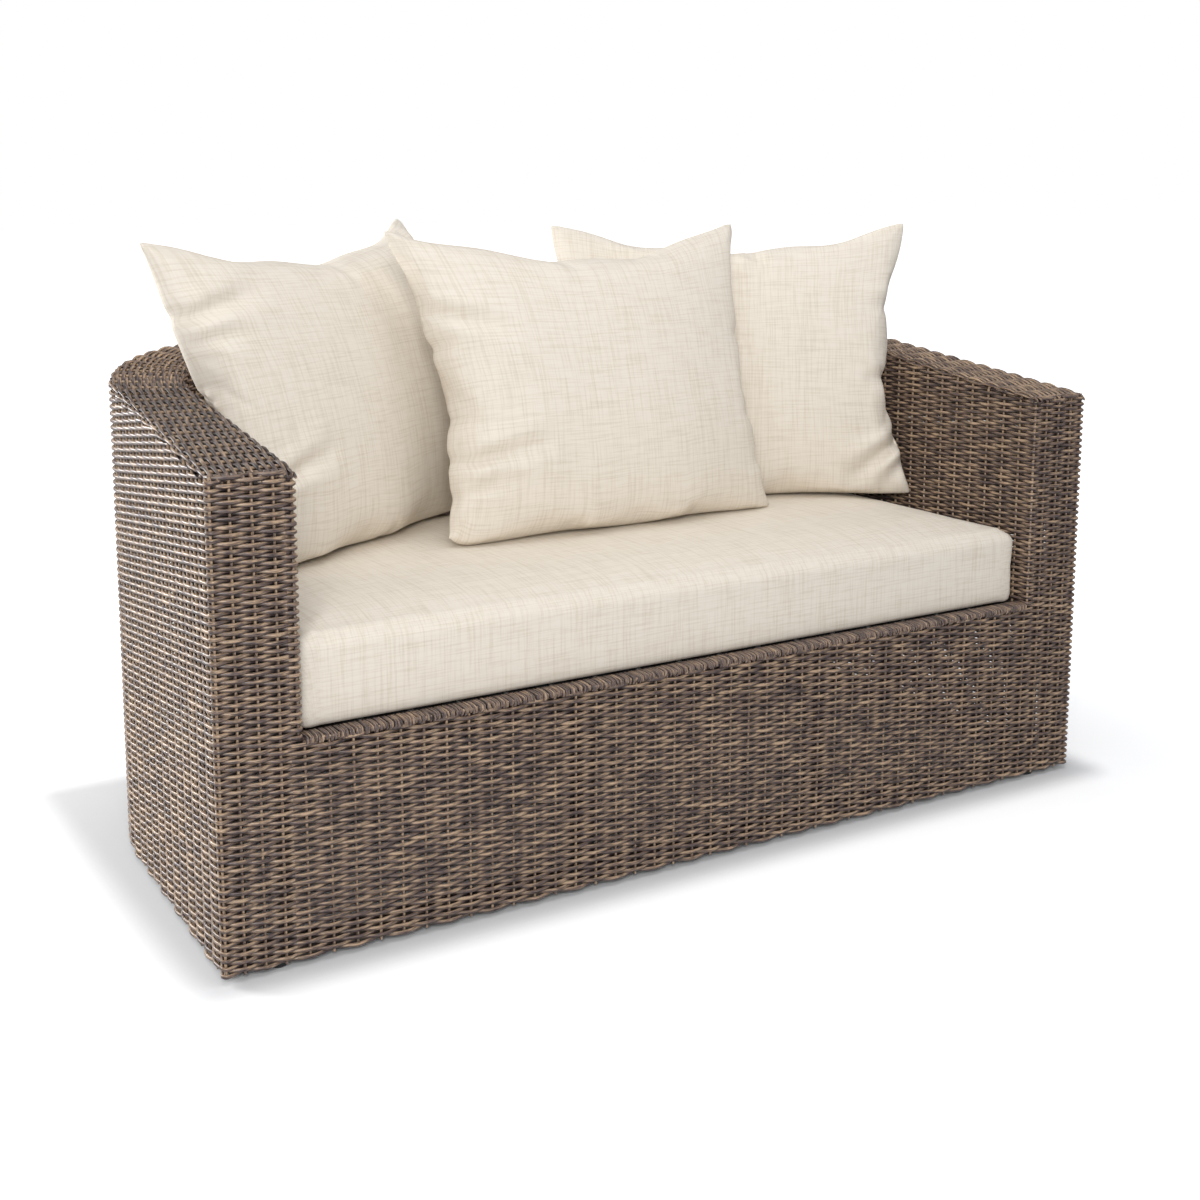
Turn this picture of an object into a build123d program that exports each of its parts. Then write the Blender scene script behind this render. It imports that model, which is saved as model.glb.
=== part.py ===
from build123d import *
import os
from math import atan2, cos, hypot, radians, sin

# Woven resin patio loveseat: an aluminium tube frame inside a horseshoe of woven
# walls, a seat deck of black webbing, a boxed seat cushion and three loose pillows.
# X runs along the width, the front faces -Y, +Z is up. The origin lies on the ground
# below the middle of the woven shell. All lengths are in millimetres.

# Driving dimensions of the woven shell
overall_width = 1500.0
overall_depth = 760.0
arm_height = 647.0          # top of the arm at its front, above the ground
rim_rise = 93.0             # how much higher the rim is at the back
arm_width = 119.0           # arm thickness at the front, outside to inside
back_width = 115.0          # thickness of the back
side_draw = 36.0            # each outer side comes in by this much, front to back
inner_draw = 19.0           # each inner side comes in by this much, front to back
corner_radius = 340.0       # plan radius of the two rear outer corners
deck_height = 298.0         # top of the seat rails
weave = 12.0                # thickness of the woven skin
flute_depth = 3.6           # how far the weave dips between two stakes
flute_width = 20.0
side_stakes = 12
corner_stakes = 13
back_stakes = 22
panel_stakes = 38
arm_stakes = 4
edge_radius = 9.0           # rounding of the woven edges
top_radius = 6.0            # rounding of the rim's upper edges
rim_tolerance = 0.1         # an edge this close to the rim's plane belongs to it

# Rail wrapping along the front of the seat
wrap_depth = 30.0
wrap_thickness = 5.0
wrap_radius = 4.0

# Frame tubes
tube = 25.0
tube_wall = 2.0
seat_rail_width = 40.0
bar_count = 3
leg_share = 0.334           # front legs' distance from the middle, in half seat widths
back_post_share = 0.668     # back posts' distance, in halves of the straight back

# Glides and their screws
glide_height = 8.0
glide_radius = 13.0
glide_chamfer = 2.0
glide_inset_x = 82.0        # front glides, in from the outer side
screw_radius = 2.0
screw_head_radius = 4.0
screw_head_height = 2.5
screw_sink = 2.5            # depth of the head's recess below the glide's face
screw_grip = 5.0            # length of the screw above the tube's lower wall
hole_run = 5.0              # the hole goes this far past the screw
screw_clearance = 0.15

# Webbing of the seat deck
strap_width = 50.0
strap_thickness = 2.0
cross_pitch = 72.0
long_pitch = 104.0
rivet_radius = 4.0
rivet_head = 1.5
rivet_shank_radius = 2.0
rivet_edge = 9.0            # distance from a strap's end to its rivet

# Seat cushion
cushion_gap = 5.0           # to the arms
cushion_rear_gap = 13.0     # to the back
cushion_setback = 32.0      # front face of the cushion behind the woven front
cushion_lift = 0.3
cushion_thickness = 124.0   # at the boxing
cushion_crown = 16.0        # rise of the top above the boxing
cushion_edge = 14.0         # rounding of the top and bottom edges
cushion_draw = 2.5          # how far the boxing draws in at half height
cushion_front_radius = 16.0
cushion_min_radius = 10.0
crown_plateau = 150.0       # the crown runs in this far from the edge
bottom_inset_share = 0.35   # share of the edge rounding at the very bottom
bottom_turn_share = 0.35    # height share of the second bottom section
bottom_turn_inset_share = 0.15

# Covers and fillings
cover_thickness = 1.5
cover_slack = 0.5           # between a cover and its filling

# Pillows
pillow_width_share = 0.4952 # from tip to tip, as a share of the seat's width
pillow_height = 476.0
pillow_front_crown = 82.0   # front of the pillow before its seam
pillow_back_crown = 46.0    # flatter back, pressed against the woven wall
pillow_side_bow = -30.0
pillow_top_bow = -38.0
pillow_bottom_bow = 5.0
pillow_lift = 0.3
pillow_fill_inset = 7.0     # the filling stays this far from the tips

# Zips
zip_width = 10.0
zip_depth = 5.0             # how deep the tape lies in the cover
zip_proud = 0.8
seat_zip_length = 560.0
pillow_zip_length = 300.0
pillow_zip_rise = 34.0      # from the pillow's lower edge
slider_length = 12.0
slider_height = 4.0
slider_clearance = 0.3
pull_length = 16.0
pull_width = 5.0
pull_thickness = 1.2
zip_end = 12.0              # the slider stops this far from the tape's ends
slider_width_share = 0.8    # of the tape's width
slider_round_share = 0.2    # of the tape's width
pull_round_share = 0.4      # of the pull's width

# Cutting overrun
overrun = 20.0

# How the pillows stand: turn and lean in degrees. The side pillows keep a margin from
# their tips to the arm and to the back, and the middle one stands a step in front of
# the right one.
pillow_turns = {"left": 31.5, "middle": 0.4, "right": -30.0}
pillow_leans = {"left": 14.4, "middle": 15.8, "right": 12.0}
side_margins = {"left": 19.6, "right": 11.4}
back_margins = {"left": 58.7, "right": 52.8}
middle_step = 121.0
middle_share = 0.057        # how far off the middle it stands, in half seat widths

# Sections of half a pillow, from the seam to the crown
depth_shares = (0.0, 0.32, 0.62, 0.86, 1.0)
corner_shares = (1.0, 0.93, 0.80, 0.58, 0.28)
bow_shares = (1.0, 0.55, -0.05, -0.75, -0.55)
bottom_bow_shares = (1.0, 1.6, 2.4, 4.2, 3.0)

# Sections of the seat cushion's crown: height and inset, as shares
crown_height_shares = (0.0, 0.36, 0.68, 0.90, 1.0)
crown_inset_shares = (0.0, 0.11, 0.32, 0.62, 1.0)

# Places that follow from the driving dimensions
front_y = -overall_depth / 2
back_y = overall_depth / 2
inner_back_y = back_y - back_width
inner_radius = corner_radius - back_width
corner_y = back_y - corner_radius
side_slope = side_draw / overall_depth
inner_slope = inner_draw / overall_depth
rim_slope = rim_rise / overall_depth
corner_x = overall_width / 2 - side_draw - corner_radius
base_top = glide_height + tube
seat_half = overall_width / 2 - arm_width
rail_bottom = deck_height - tube
tie_bottom = rail_bottom - tube
seat_ledge = seat_rail_width - weave
cushion_bottom = deck_height + 2 * strap_thickness + cushion_lift
cushion_top = cushion_bottom + cushion_thickness + cushion_crown
pillow_width = 2 * seat_half * pillow_width_share
leg_x = seat_half * leg_share
back_post_x = corner_x * back_post_share
bar_x = corner_x - tube


def rim_height(y):
    """Height of the rim's top above the ground at a place along the depth."""
    return arm_height + rim_slope * (y - front_y)


def outer_half(y, inset=0.0):
    """Half width of the outer outline, moved inwards by the inset."""
    return overall_width / 2 - side_slope * (y - front_y) - inset * hypot(1, side_slope)


def inner_half(y, outset=0.0):
    """Half width of the seat space, moved outwards by the outset."""
    return seat_half - inner_slope * (y - front_y) + outset * hypot(1, inner_slope)


def plan_face(half_at, y_start, y_end, rear_radius, front_radius=0.0):
    """A plan outline with straight drawn-in sides and rounded corners."""
    outline = Polyline(
        (-half_at(y_start), y_start),
        (half_at(y_start), y_start),
        (half_at(y_end), y_end),
        (-half_at(y_end), y_end),
        close=True,
    )
    face = make_face(outline)
    face = fillet(face.vertices().group_by(Axis.Y)[-1], rear_radius)
    if front_radius > 0:
        face = fillet(face.vertices().group_by(Axis.Y)[0], front_radius)
    return face


def outer_face(inset, start=front_y, front_radius=0.0):
    """Everything inside the outer outline, moved inwards by the inset."""
    half_at = lambda y: outer_half(y, inset)
    return plan_face(half_at, start, back_y - inset, corner_radius - inset, front_radius)


def inner_face(outset):
    """The seat space in plan, moved outwards by the outset."""
    half_at = lambda y: inner_half(y, outset)
    return plan_face(half_at, front_y - overrun, inner_back_y + outset, inner_radius + outset)


def prism(face, z_low, z_high):
    """A plan face made a solid between two heights."""
    return Pos(0, 0, z_low) * extrude(face, z_high - z_low)


def under_rim(drop):
    """All the room from the ground up to the rim's plane, lowered by the drop."""
    reach = overall_width / 2 + overrun
    y_low, y_high = front_y - overrun, back_y + overrun
    side = make_face(Polyline(
        (y_low, 0), (y_high, 0),
        (y_high, rim_height(y_high) - drop), (y_low, rim_height(y_low) - drop),
        close=True,
    ))
    return extrude(Plane.YZ.offset(-reach) * side, 2 * reach)


def block(x_low, x_high, y_low, y_high, z_low, z_high):
    """A box between two corners."""
    box = Box(x_high - x_low, y_high - y_low, z_high - z_low, align=(Align.MIN,) * 3)
    return Pos(x_low, y_low, z_low) * box


def zone(x_low, x_high, y_low, y_high):
    """A tall box that picks out a stretch of a wall."""
    return block(x_low, x_high, y_low, y_high, -overrun, rim_height(back_y) + overrun)


far = overall_width / 2 + overrun
ring_end = back_y + overrun


def stretches(solid, start_y):
    """Cut a horseshoe into left and right sides, left and right corners and the back."""
    return {
        "left": solid & zone(-far, 0, start_y, corner_y),
        "right": solid & zone(0, far, start_y, corner_y),
        "left_corner": solid & zone(-far, -corner_x, corner_y, ring_end),
        "right_corner": solid & zone(corner_x, far, corner_y, ring_end),
        "back": solid & zone(-corner_x, corner_x, corner_y, ring_end),
    }


def hollow_ring(outside, inside, z_low, z_high):
    """A square tube that follows a band in plan, open where it is cut later."""
    body = prism(outside, z_low, z_high)
    return body - prism(inside, z_low + tube_wall, z_high - tube_wall)


# Woven skins
def diamond(point, along):
    """The plan of a V-groove across an outline."""
    side = along * (flute_width / 2)
    deep = Vector(-along.Y, along.X) * flute_depth
    return make_face(Polyline(point - side, point - deep, point + side, point + deep, close=True))


def stake_count(edge):
    """How many stakes stand along a stretch of a wall's outline."""
    if edge.geom_type == GeomType.CIRCLE:
        return corner_stakes
    along = edge.tangent_at(0.5)
    return back_stakes if abs(along.X) > abs(along.Y) else side_stakes


def wall_flutes(outline):
    """The dips halfway between the stakes, along a wall's outline but not its front."""
    cuts = []
    for edge in outline.edges():
        if edge.center().Y > front_y + overrun:
            count = stake_count(edge)
            for number in range(count):
                share = (number + 0.5) / count
                cuts.append(diamond(edge.position_at(share), edge.tangent_at(share)))
    return cuts


def front_flutes(x_low, x_high, count, height):
    """The dips halfway between the stakes of a stretch in the front plane."""
    pitch = (x_high - x_low) / count
    cuts = []
    for number in range(count):
        point = Vector(x_low + (number + 0.5) * pitch, front_y)
        cuts.append(prism(diamond(point, Vector(1, 0)), 0, height))
    return cuts


def woven_shell():
    """The woven walls and the woven rim, each stretch its own piece."""
    nodes = {}
    skin_start = front_y + weave
    ceiling = under_rim(weave)

    outer_band = outer_face(0, skin_start) - outer_face(weave, skin_start - overrun)
    outer_band = outer_band - wall_flutes(outer_face(0))
    outer_wall = prism(outer_band, glide_height, rim_height(ring_end)) & ceiling
    for name, piece in stretches(outer_wall, skin_start).items():
        nodes["outer_weave_" + name] = piece

    inner_band = inner_face(weave) - inner_face(0)
    inner_edge = plan_face(inner_half, front_y, inner_back_y, inner_radius)
    inner_band = inner_band - wall_flutes(inner_edge)
    inner_wall = prism(inner_band, deck_height, rim_height(ring_end)) & ceiling
    for name, piece in stretches(inner_wall, skin_start).items():
        nodes["inner_weave_" + name] = piece

    rim_plan = outer_face(0, front_y) - inner_face(0)
    rim_plan = fillet(rim_plan.vertices().group_by(Axis.Y)[0], edge_radius)
    rim = prism(rim_plan, tie_bottom, rim_height(ring_end)) & (under_rim(0) - ceiling)
    top_edges = [e for e in rim.edges() if on_rim(e)]
    rim = fillet(top_edges, top_radius)
    for name, piece in stretches(rim, front_y - overrun).items():
        nodes["rim_weave_" + name] = piece

    for side, sign in (("left", -1), ("right", 1)):
        x_low, x_high = sorted((sign * seat_half, sign * overall_width / 2))
        slab = block(x_low, x_high, front_y, skin_start, glide_height, rim_height(ring_end))
        outside_edge = slab.edges().filter_by(Axis.Z).sort_by(Axis.Y)[:2]
        outside_edge = [e for e in outside_edge if sign * e.center().X > seat_half + overrun]
        slab = fillet(outside_edge, edge_radius) & ceiling
        nodes["arm_front_weave_" + side] = slab - front_flutes(
            x_low, x_high, arm_stakes, rim_height(ring_end))
    panel = block(-seat_half, seat_half, front_y, skin_start, glide_height, deck_height)
    nodes["front_weave"] = panel - front_flutes(-seat_half, seat_half, panel_stakes, deck_height)
    wrap = block(
        -seat_half, seat_half, front_y, front_y + wrap_depth,
        deck_height, deck_height + wrap_thickness)
    wrap = wrap & prism(inner_face(0), deck_height, deck_height + wrap_thickness)
    nose = wrap.edges().filter_by(Axis.X).group_by(Axis.Z)[-1].sort_by(Axis.Y)[0]
    nodes["front_rail_wrapping"] = fillet(nose, wrap_radius)
    return nodes


def on_rim(edge):
    """True for an edge that lies in the rim's top plane."""
    ends = [edge.position_at(share) for share in (0, 0.5, 1)]
    return all(abs(p.Z - rim_height(p.Y)) < rim_tolerance for p in ends)


# Frame
def base_rails(holes):
    """The tubes that the woven walls stand on, drilled for the glides' screws."""
    start = front_y + weave
    outside = outer_face(weave, start) - outer_face(weave + tube, start - overrun)
    inside = outer_face(weave + tube_wall, start - overrun)
    inside = inside - outer_face(weave + tube - tube_wall, start - 2 * overrun)
    ring = hollow_ring(outside, inside, glide_height, base_top)
    parts = stretches(ring, start + tube)
    nodes = {
        "base_rail_back": parts["back"] - holes,
        "base_rail_sides": Compound([parts["left"] - holes, parts["right"] - holes]),
        "base_rail_corners": Compound([parts["left_corner"], parts["right_corner"]]),
    }
    reach = outer_half(start, weave)
    front = block(-reach, reach, start, start + tube, glide_height, base_top)
    bore = block(
        -reach - overrun, reach + overrun, start + tube_wall, start + tube - tube_wall,
        glide_height + tube_wall, base_top - tube_wall)
    front = front & prism(outer_face(weave, start), glide_height, base_top)
    nodes["base_rail_front"] = front - bore - holes
    return nodes


def rim_tubes():
    """The two bent tubes under the rim and the short ties between them."""
    start = front_y + weave
    layer = under_rim(weave) - under_rim(weave + tube)
    core = under_rim(weave + tube_wall) - under_rim(weave + tube - tube_wall)
    ceiling = rim_height(ring_end)

    def bent(outside, inside):
        return (prism(outside, tie_bottom, ceiling) & layer) - (prism(inside, 0, ceiling) & core)

    keep = zone(-far, far, start, ring_end)
    outer_out = outer_face(weave, start) - outer_face(weave + tube, start - overrun)
    outer_in = outer_face(weave + tube_wall, start - overrun)
    outer_in = outer_in - outer_face(weave + tube - tube_wall, start - 2 * overrun)
    inner_out = inner_face(weave + tube) - inner_face(weave)
    inner_in = inner_face(weave + tube - tube_wall) - inner_face(weave + tube_wall)
    gap = outer_face(weave + tube, start) - inner_face(weave + tube)
    tie_room = prism(gap, tie_bottom, ceiling) & layer
    return {
        "rim_tube_outer": bent(outer_out, outer_in) & keep,
        "rim_tube_inner": bent(inner_out, inner_in) & keep,
        "rim_ties": Compound([tie_room & place for place in post_zones(start)]),
    }


def post_zones(start):
    """Boxes as wide as a tube at the places of the posts."""
    zones = []
    for sign in (-1, 1):
        x_low, x_high = sorted((0, sign * far))
        zones.append(zone(x_low, x_high, start, start + tube))
        zones.append(zone(x_low, x_high, corner_y - tube, corner_y))
        x_mid = sign * back_post_x
        zones.append(zone(x_mid - tube / 2, x_mid + tube / 2, corner_y, ring_end))
    return zones


def posts():
    """Upright tubes: outside from the base to the rim, inside from the ties."""
    start = front_y + weave
    ceiling = under_rim(weave + tube)
    top = rim_height(ring_end)
    outer_band = outer_face(weave, start) - outer_face(weave + tube, start - overrun)
    outer_core = outer_face(weave + tube_wall, start) - outer_face(
        weave + tube - tube_wall, start - overrun)
    inner_band = inner_face(weave + tube) - inner_face(weave)
    inner_core = inner_face(weave + tube - tube_wall) - inner_face(weave + tube_wall)

    def upright(band, core, place, z_low):
        body = prism(band, z_low, top) & place & ceiling
        box = place.bounding_box()
        narrow = zone(box.min.X, box.max.X, box.min.Y + tube_wall, box.max.Y - tube_wall)
        if box.max.Y > corner_y + tube:
            narrow = zone(
                box.min.X + tube_wall, box.max.X - tube_wall, box.min.Y, box.max.Y)
        return body - (prism(core, 0, top + overrun) & narrow)

    places = post_zones(start)
    front_places = [places[0], places[3]]
    other_places = [p for p in places if p not in front_places]
    return {
        "arm_front_posts": Compound(
            [upright(outer_band, outer_core, p, base_top) for p in front_places]
            + [upright(inner_band, inner_core, p, base_top) for p in front_places]),
        "outer_posts": Compound(
            [upright(outer_band, outer_core, p, base_top) for p in other_places]),
        "inner_posts": Compound(
            [upright(inner_band, inner_core, p, rail_bottom) for p in other_places]),
    }


def seat_frame():
    """Rails round the seat, the ties that carry them, cross bars and front legs."""
    start = front_y + weave
    rail_start = start + seat_rail_width
    outside = inner_face(weave) - inner_face(-seat_ledge)
    inside = inner_face(weave - tube_wall) - inner_face(-seat_ledge + tube_wall)
    ring = hollow_ring(outside, inside, rail_bottom, deck_height)
    parts = stretches(ring, rail_start)
    nodes = {
        "seat_rail_back": parts["back"],
        "seat_rail_sides": Compound([parts["left"], parts["right"]]),
        "seat_rail_corners": Compound([parts["left_corner"], parts["right_corner"]]),
    }

    reach = inner_half(start, weave)
    front = block(-reach, reach, start, rail_start, rail_bottom, deck_height)
    bore = block(
        -far, far, start + tube_wall, rail_start - tube_wall,
        rail_bottom + tube_wall, deck_height - tube_wall)
    front = front & prism(inner_face(weave), rail_bottom, deck_height)
    nodes["seat_rail_front"] = front - bore

    tie_band = outer_face(weave + tube, start) - inner_face(-seat_ledge)
    tie_ring = prism(tie_band, tie_bottom, rail_bottom)
    ties = []
    for place in post_zones(start)[1:3] + post_zones(start)[4:6]:
        box = place.bounding_box()
        solid = tie_ring & place
        if box.max.Y > corner_y + tube:
            core = block(
                box.min.X + tube_wall, box.max.X - tube_wall, corner_y, ring_end,
                tie_bottom + tube_wall, rail_bottom - tube_wall)
        else:
            core = block(
                -far, far, box.min.Y + tube_wall, box.max.Y - tube_wall,
                tie_bottom + tube_wall, rail_bottom - tube_wall)
        ties.append(solid - core)
    nodes["arm_ties"] = Compound(ties)

    bar_end = inner_back_y - seat_ledge
    bars = []
    for index in range(bar_count):
        x_mid = bar_x * (2 * index / (bar_count - 1) - 1)
        bar = block(
            x_mid - tube / 2, x_mid + tube / 2, rail_start, bar_end, rail_bottom, deck_height)
        core = block(
            x_mid - tube / 2 + tube_wall, x_mid + tube / 2 - tube_wall,
            rail_start - overrun, bar_end + overrun,
            rail_bottom + tube_wall, deck_height - tube_wall)
        bars.append(bar - core)
    nodes["seat_cross_bars"] = Compound(bars)

    legs = []
    for sign in (-1, 1):
        x_mid = sign * leg_x
        leg = block(
            x_mid - tube / 2, x_mid + tube / 2, start, start + tube, base_top, rail_bottom)
        core = block(
            x_mid - tube / 2 + tube_wall, x_mid + tube / 2 - tube_wall,
            start + tube_wall, start + tube - tube_wall, 0, deck_height)
        legs.append(leg - core)
    nodes["front_legs"] = Compound(legs)
    return nodes


# Glides
def glide_places():
    """Six places under the base rails."""
    middle = weave + tube / 2
    side_y = corner_y - tube / 2
    places = []
    for sign in (-1, 1):
        places.append((sign * (overall_width / 2 - glide_inset_x), front_y + middle))
        places.append((sign * outer_half(side_y, middle), side_y))
        places.append((sign * back_post_x, back_y - middle))
    return places


def glides():
    """Round plastic feet, the screws that hold them and the holes they need."""
    feet, screws, holes = [], [], []
    screw_top = glide_height + tube_wall + screw_grip
    for x, y in glide_places():
        foot = Cylinder(glide_radius, glide_height, align=(Align.CENTER, Align.CENTER, Align.MIN))
        foot = chamfer(foot.edges().group_by(Axis.Z)[0], glide_chamfer)
        recess = Cylinder(
            screw_head_radius + screw_clearance, screw_sink + screw_head_height,
            align=(Align.CENTER, Align.CENTER, Align.MIN))
        hole = Cylinder(
            screw_radius + screw_clearance, screw_top + hole_run,
            align=(Align.CENTER, Align.CENTER, Align.MIN))
        head = Pos(0, 0, screw_sink) * Cylinder(
            screw_head_radius, screw_head_height, align=(Align.CENTER, Align.CENTER, Align.MIN))
        shank = Pos(0, 0, screw_sink) * Cylinder(
            screw_radius, screw_top - screw_sink, align=(Align.CENTER, Align.CENTER, Align.MIN))
        feet.append(Pos(x, y, 0) * (foot - recess - hole))
        screws.append(Pos(x, y, 0) * (head + shank))
        holes.append(Pos(x, y, 0) * hole)
    return feet, screws, Compound(holes)


# Seat deck
def deck():
    """Webbing straps both ways, and the rivets at the ends of the cross straps."""
    strap_front = front_y + wrap_depth + cushion_lift
    strap_back = inner_back_y
    rivet_rows = (strap_front + rivet_edge, strap_back - rivet_edge)
    usable = 2 * (inner_half(corner_y) - strap_width)
    count = int(usable // cross_pitch) + 1
    z_low, z_high = deck_height, deck_height + strap_thickness
    straps, rivets = [], []
    room = prism(inner_face(-cushion_lift), 0, cushion_top)
    for index in range(count):
        x_mid = (index - (count - 1) / 2) * cross_pitch
        x_low, x_high = x_mid - strap_width / 2, x_mid + strap_width / 2
        strap = block(x_low, x_high, strap_front, strap_back, z_low, z_high) & room
        for row in rivet_rows:
            reach = inner_half(row) - strap_width
            on_corner = row > corner_y and abs(x_mid) > reach - inner_radius / 2
            if on_corner:
                continue
            shank = Cylinder(
                rivet_shank_radius, strap_thickness, align=(Align.CENTER, Align.CENTER, Align.MIN))
            head = Cylinder(
                rivet_radius, rivet_head, align=(Align.CENTER, Align.CENTER, Align.MIN))
            rivet = Pos(x_mid, row, z_low) * (shank + Pos(0, 0, strap_thickness) * head)
            strap = strap - Pos(x_mid, row, z_low) * shank
            rivets.append(rivet)
        straps.append(strap)

    long_straps = []
    long_front = rivet_rows[0] + rivet_radius + strap_width / 2 + cushion_lift
    long_back = rivet_rows[1] - rivet_radius - strap_width / 2 - cushion_lift
    long_count = int((long_back - long_front) // long_pitch) + 1
    step = (long_back - long_front) / (long_count - 1)
    for index in range(long_count):
        y_mid = long_front + index * step
        strap = block(
            -far, far, y_mid - strap_width / 2, y_mid + strap_width / 2,
            z_high, z_high + strap_thickness)
        long_straps.append(strap & room)
    return {
        "cross_straps": Compound(straps),
        "long_straps": Compound(long_straps),
        "strap_rivets": Compound(rivets),
    }


# Seat cushion
def cushion_section(z, inset):
    """The cushion's outline at a height, moved inwards by the inset."""
    y_start = front_y + cushion_setback + inset
    y_end = inner_back_y - cushion_rear_gap - inset
    half_at = lambda y: inner_half(y, -cushion_gap - inset)
    rear = max(inner_radius - cushion_gap - inset, cushion_min_radius)
    front = max(cushion_front_radius - inset, cushion_min_radius)
    return Pos(0, 0, z) * plan_face(half_at, y_start, y_end, rear, front)


def cushion_form(shrink):
    """The boxed cushion with its crown, made smaller all round by the shrink."""
    low = cushion_bottom + shrink
    side_top = cushion_bottom + cushion_thickness - cushion_edge
    middle = cushion_bottom + cushion_thickness / 2
    sections = [
        cushion_section(low, shrink + cushion_edge * bottom_inset_share),
        cushion_section(
            low + cushion_edge * bottom_turn_share,
            shrink + cushion_edge * bottom_turn_inset_share),
        cushion_section(low + cushion_edge, shrink),
        cushion_section(middle, shrink + cushion_draw),
        cushion_section(side_top, shrink),
    ]
    rise = cushion_edge + cushion_crown - shrink
    for height, inset in zip(crown_height_shares[1:], crown_inset_shares[1:]):
        sections.append(cushion_section(side_top + rise * height, shrink + crown_plateau * inset))
    return loft(sections, ruled=True)


def seat_cushion():
    """Cover, filling, zip tape and slider of the seat cushion."""
    rear = inner_back_y - cushion_rear_gap - cushion_draw
    middle = cushion_bottom + cushion_thickness / 2
    tape = block(
        -seat_zip_length / 2, seat_zip_length / 2, rear - zip_depth, rear + zip_proud,
        middle - zip_width / 2, middle + zip_width / 2)
    cover = cushion_form(0) - cushion_form(cover_thickness) - tape
    filling = cushion_form(cover_thickness + cover_slack) - tape
    plane = Plane(origin=(0, rear + zip_proud, middle), x_dir=(1, 0, 0), z_dir=(0, 1, 0))
    return {
        "seat_cushion_cover": cover,
        "seat_cushion_filling": filling,
        "seat_cushion_zip": tape,
        "seat_cushion_zip_slider": plane.location * zip_slider(seat_zip_length),
    }


def zip_slider(tape_length):
    """A slider with its pull, at one end of a tape that lies along local X."""
    start = -tape_length / 2 + zip_end
    body = Pos(start, 0, slider_clearance) * Box(
        slider_length, zip_width * slider_width_share, slider_height,
        align=(Align.MIN, Align.CENTER, Align.MIN))
    body = fillet(body.edges().filter_by(Axis.Z), zip_width * slider_round_share)
    pull = Pos(start + slider_length, 0, slider_clearance + pull_thickness) * Box(
        pull_length, pull_width, pull_thickness, align=(Align.MIN, Align.CENTER, Align.MIN))
    pull = fillet(pull.edges().filter_by(Axis.Z), pull_width * pull_round_share)
    return body + pull


# Pillows
def bowed_side(first, last, bow):
    """An arc between two corners that bows outwards, or inwards if negative."""
    length = hypot(last[0] - first[0], last[1] - first[1])
    across = ((last[1] - first[1]) / length, -(last[0] - first[0]) / length)
    middle = (
        (first[0] + last[0]) / 2 + across[0] * bow,
        (first[1] + last[1]) / 2 + across[1] * bow,
    )
    return ThreePointArc(first, middle, last)


def pillow_section(width, height, depth, step):
    """One closed outline of a pillow, parallel to its seam."""
    a = width / 2 * corner_shares[step]
    b = height / 2 * corner_shares[step]
    size = width / pillow_width
    side = pillow_side_bow * bow_shares[step] * size
    top = pillow_top_bow * bow_shares[step] * size
    bottom = pillow_bottom_bow * bottom_bow_shares[step] * size
    outline = Curve() + [
        bowed_side((-a, -b), (a, -b), bottom),
        bowed_side((a, -b), (a, b), side),
        bowed_side((a, b), (-a, b), top),
        bowed_side((-a, b), (-a, -b), side),
    ]
    return Pos(0, 0, depth) * make_face(outline)


def pillow_form(inset, thin):
    """A pillow lying on its back, with pointed corners and drawn-in sides."""
    width = pillow_width - 2 * inset
    height = pillow_height - 2 * inset
    halves = []
    for crown in (pillow_front_crown - thin, thin - pillow_back_crown):
        sections = [
            pillow_section(width, height, crown * share, step)
            for step, share in enumerate(depth_shares)
        ]
        halves.append(loft(sections))
    return halves[0] + halves[1]


def pillow_back_point(rise):
    """Depth of a pillow's back above its lower edge, and its slope there."""
    depths = [pillow_back_crown * share for share in depth_shares]
    heights = [
        -pillow_height / 2 * corner - pillow_bottom_bow * bow
        for corner, bow in zip(corner_shares, bottom_bow_shares)
    ]
    level = heights[0] + rise
    for step in range(len(heights) - 1):
        if heights[step] <= level <= heights[step + 1]:
            share = (level - heights[step]) / (heights[step + 1] - heights[step])
            depth = depths[step] + share * (depths[step + 1] - depths[step])
            slope = atan2(depths[step + 1] - depths[step], heights[step + 1] - heights[step])
            return level, depth, slope
    return level, pillow_back_crown, 0.0


def side_pillow_foot(side):
    """Where the lower seam of the left or right pillow has its middle."""
    turn = radians(abs(pillow_turns[side]))
    x = seat_half - side_margins[side] - pillow_width / 2 * cos(turn)
    y = inner_back_y - back_margins[side] - pillow_width / 2 * sin(turn)
    return x, y


def pillow_foot(side):
    """Where the lower seam of a pillow has its middle, in plan."""
    x, y = side_pillow_foot("left" if side == "left" else "right")
    if side == "middle":
        return seat_half * middle_share, y - middle_step
    return (-x if side == "left" else x), y


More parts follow.
